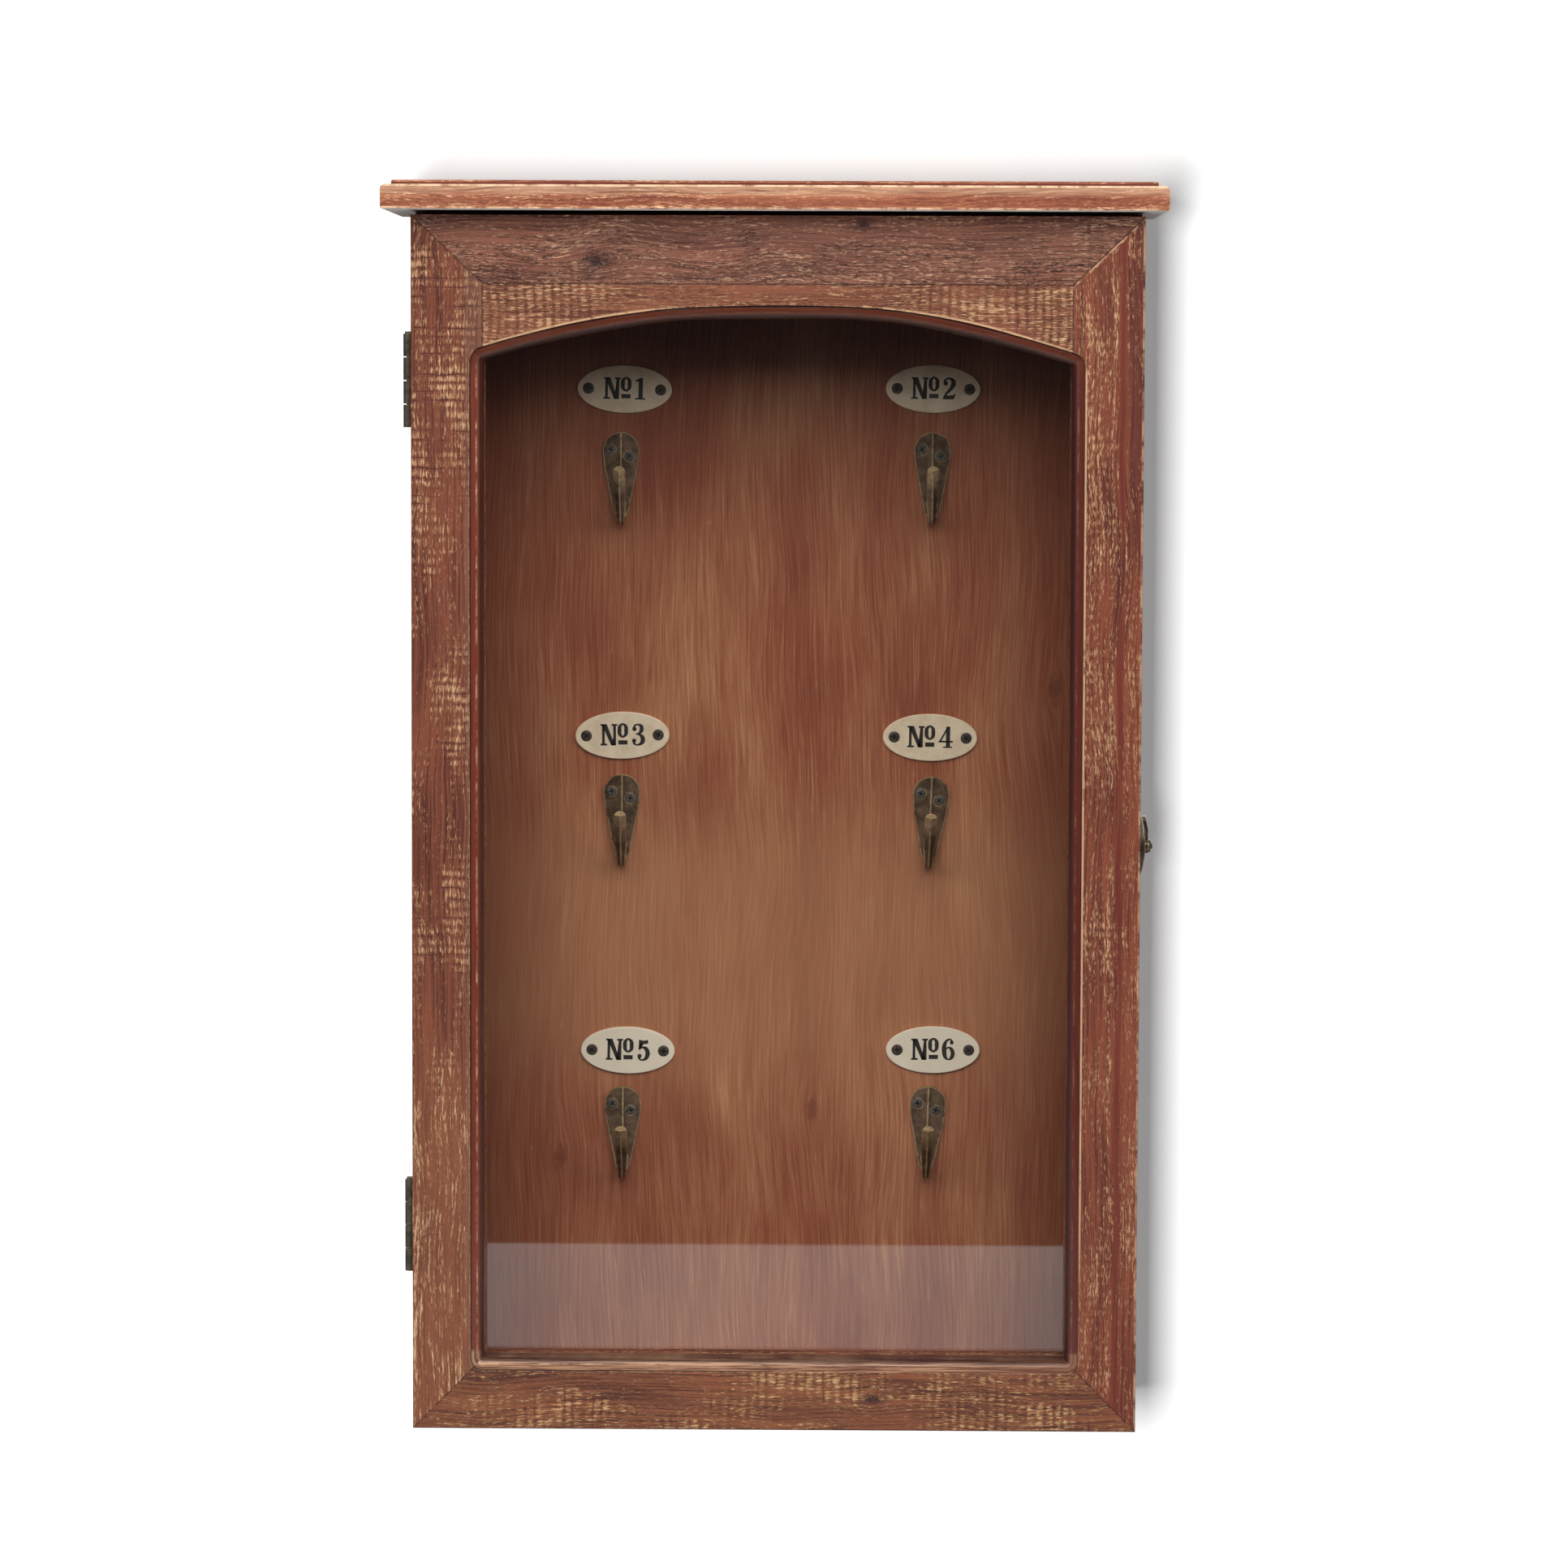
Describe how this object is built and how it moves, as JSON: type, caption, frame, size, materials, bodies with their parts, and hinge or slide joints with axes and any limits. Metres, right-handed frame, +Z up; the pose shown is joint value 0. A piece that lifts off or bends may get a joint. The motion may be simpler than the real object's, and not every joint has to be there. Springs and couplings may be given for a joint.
{
  "type": "key cabinet",
  "caption": "Wall-hung wooden key cabinet with an arch-topped glazed door, numbered oval plates over forged key hooks and a side catch.",
  "frame": {"origin": "midway between the entrance holes of the two hanger plates, on the wall plane", "axes": "+Z up, +Y into the wall, -Y to the front, +X to the right seen from the front"},
  "size_m": [0.2486, 0.076, 0.4],
  "materials": {
    "stained_wood": "red-brown stain rubbed through to pale wood along the grain",
    "carcass_wood": "satin red-brown stain",
    "back_plywood": "satin red-brown varnished plywood",
    "pane_glass": "clear sheet glass",
    "aged_bronze": "dark aged bronze with rubbed high spots",
    "dark_steel": "blackened screws and pins",
    "enamel_cream": "speckled cream enamel",
    "zinc_steel": "dull zinc"
  },
  "bodies": {
    "cabinet": {"cap_board": "stained_wood", "side_left": "carcass_wood", "side_right": "carcass_wood", "top_panel": "carcass_wood", "bottom_panel": "carcass_wood", "hanging_rail": "carcass_wood", "cap_dowels": "carcass_wood", "back_panel": "back_plywood", "hinge_upper_frame_leaf": "aged_bronze", "hinge_upper_pin": "aged_bronze", "hinge_lower_frame_leaf": "aged_bronze", "hinge_lower_pin": "aged_bronze", "strike_plate": "aged_bronze", "strike_pin": "aged_bronze", "key_hook_1": "aged_bronze", "key_hook_2": "aged_bronze", "key_hook_3": "aged_bronze", "key_hook_4": "aged_bronze", "key_hook_5": "aged_bronze", "key_hook_6": "aged_bronze", "key_hook_screws": "dark_steel", "number_plate_screws": "dark_steel", "hinge_frame_screws": "dark_steel", "back_panel_pins": "dark_steel", "number_plate_1": "enamel_cream", "number_plate_2": "enamel_cream", "number_plate_3": "enamel_cream", "number_plate_4": "enamel_cream", "number_plate_5": "enamel_cream", "number_plate_6": "enamel_cream", "hanger_plate_left": "zinc_steel", "hanger_plate_right": "zinc_steel", "hanger_screws": "zinc_steel"},
    "door": {"door_stile_left": "stained_wood", "door_stile_right": "stained_wood", "door_rail_top": "stained_wood", "door_rail_bottom": "stained_wood", "arch_board": "stained_wood", "glass_pane": "pane_glass", "glazing_strip_left": "carcass_wood", "glazing_strip_right": "carcass_wood", "glazing_strip_top": "carcass_wood", "glazing_strip_bottom": "carcass_wood", "glazing_pins": "dark_steel", "hinge_upper_door_leaf": "aged_bronze", "hinge_lower_door_leaf": "aged_bronze", "hinge_door_screws": "dark_steel", "catch_plate": "aged_bronze", "catch_rivet": "aged_bronze", "catch_pins": "aged_bronze"},
    "catch_lever": {"catch_lever": "aged_bronze"}
  },
  "joints": [
    {"name": "door_hinge", "type": "hinge", "parent": "cabinet", "child": "door", "pos_m": [-0.1184, -0.0485, -0.1739], "axis": [0, 0, -1], "range_deg": [0, 180]},
    {"name": "catch_turn", "type": "hinge", "parent": "door", "child": "catch_lever", "pos_m": [0.1189, -0.054, -0.1855], "axis": [-1, 0, 0], "range_deg": [0, 90]}
  ]
}
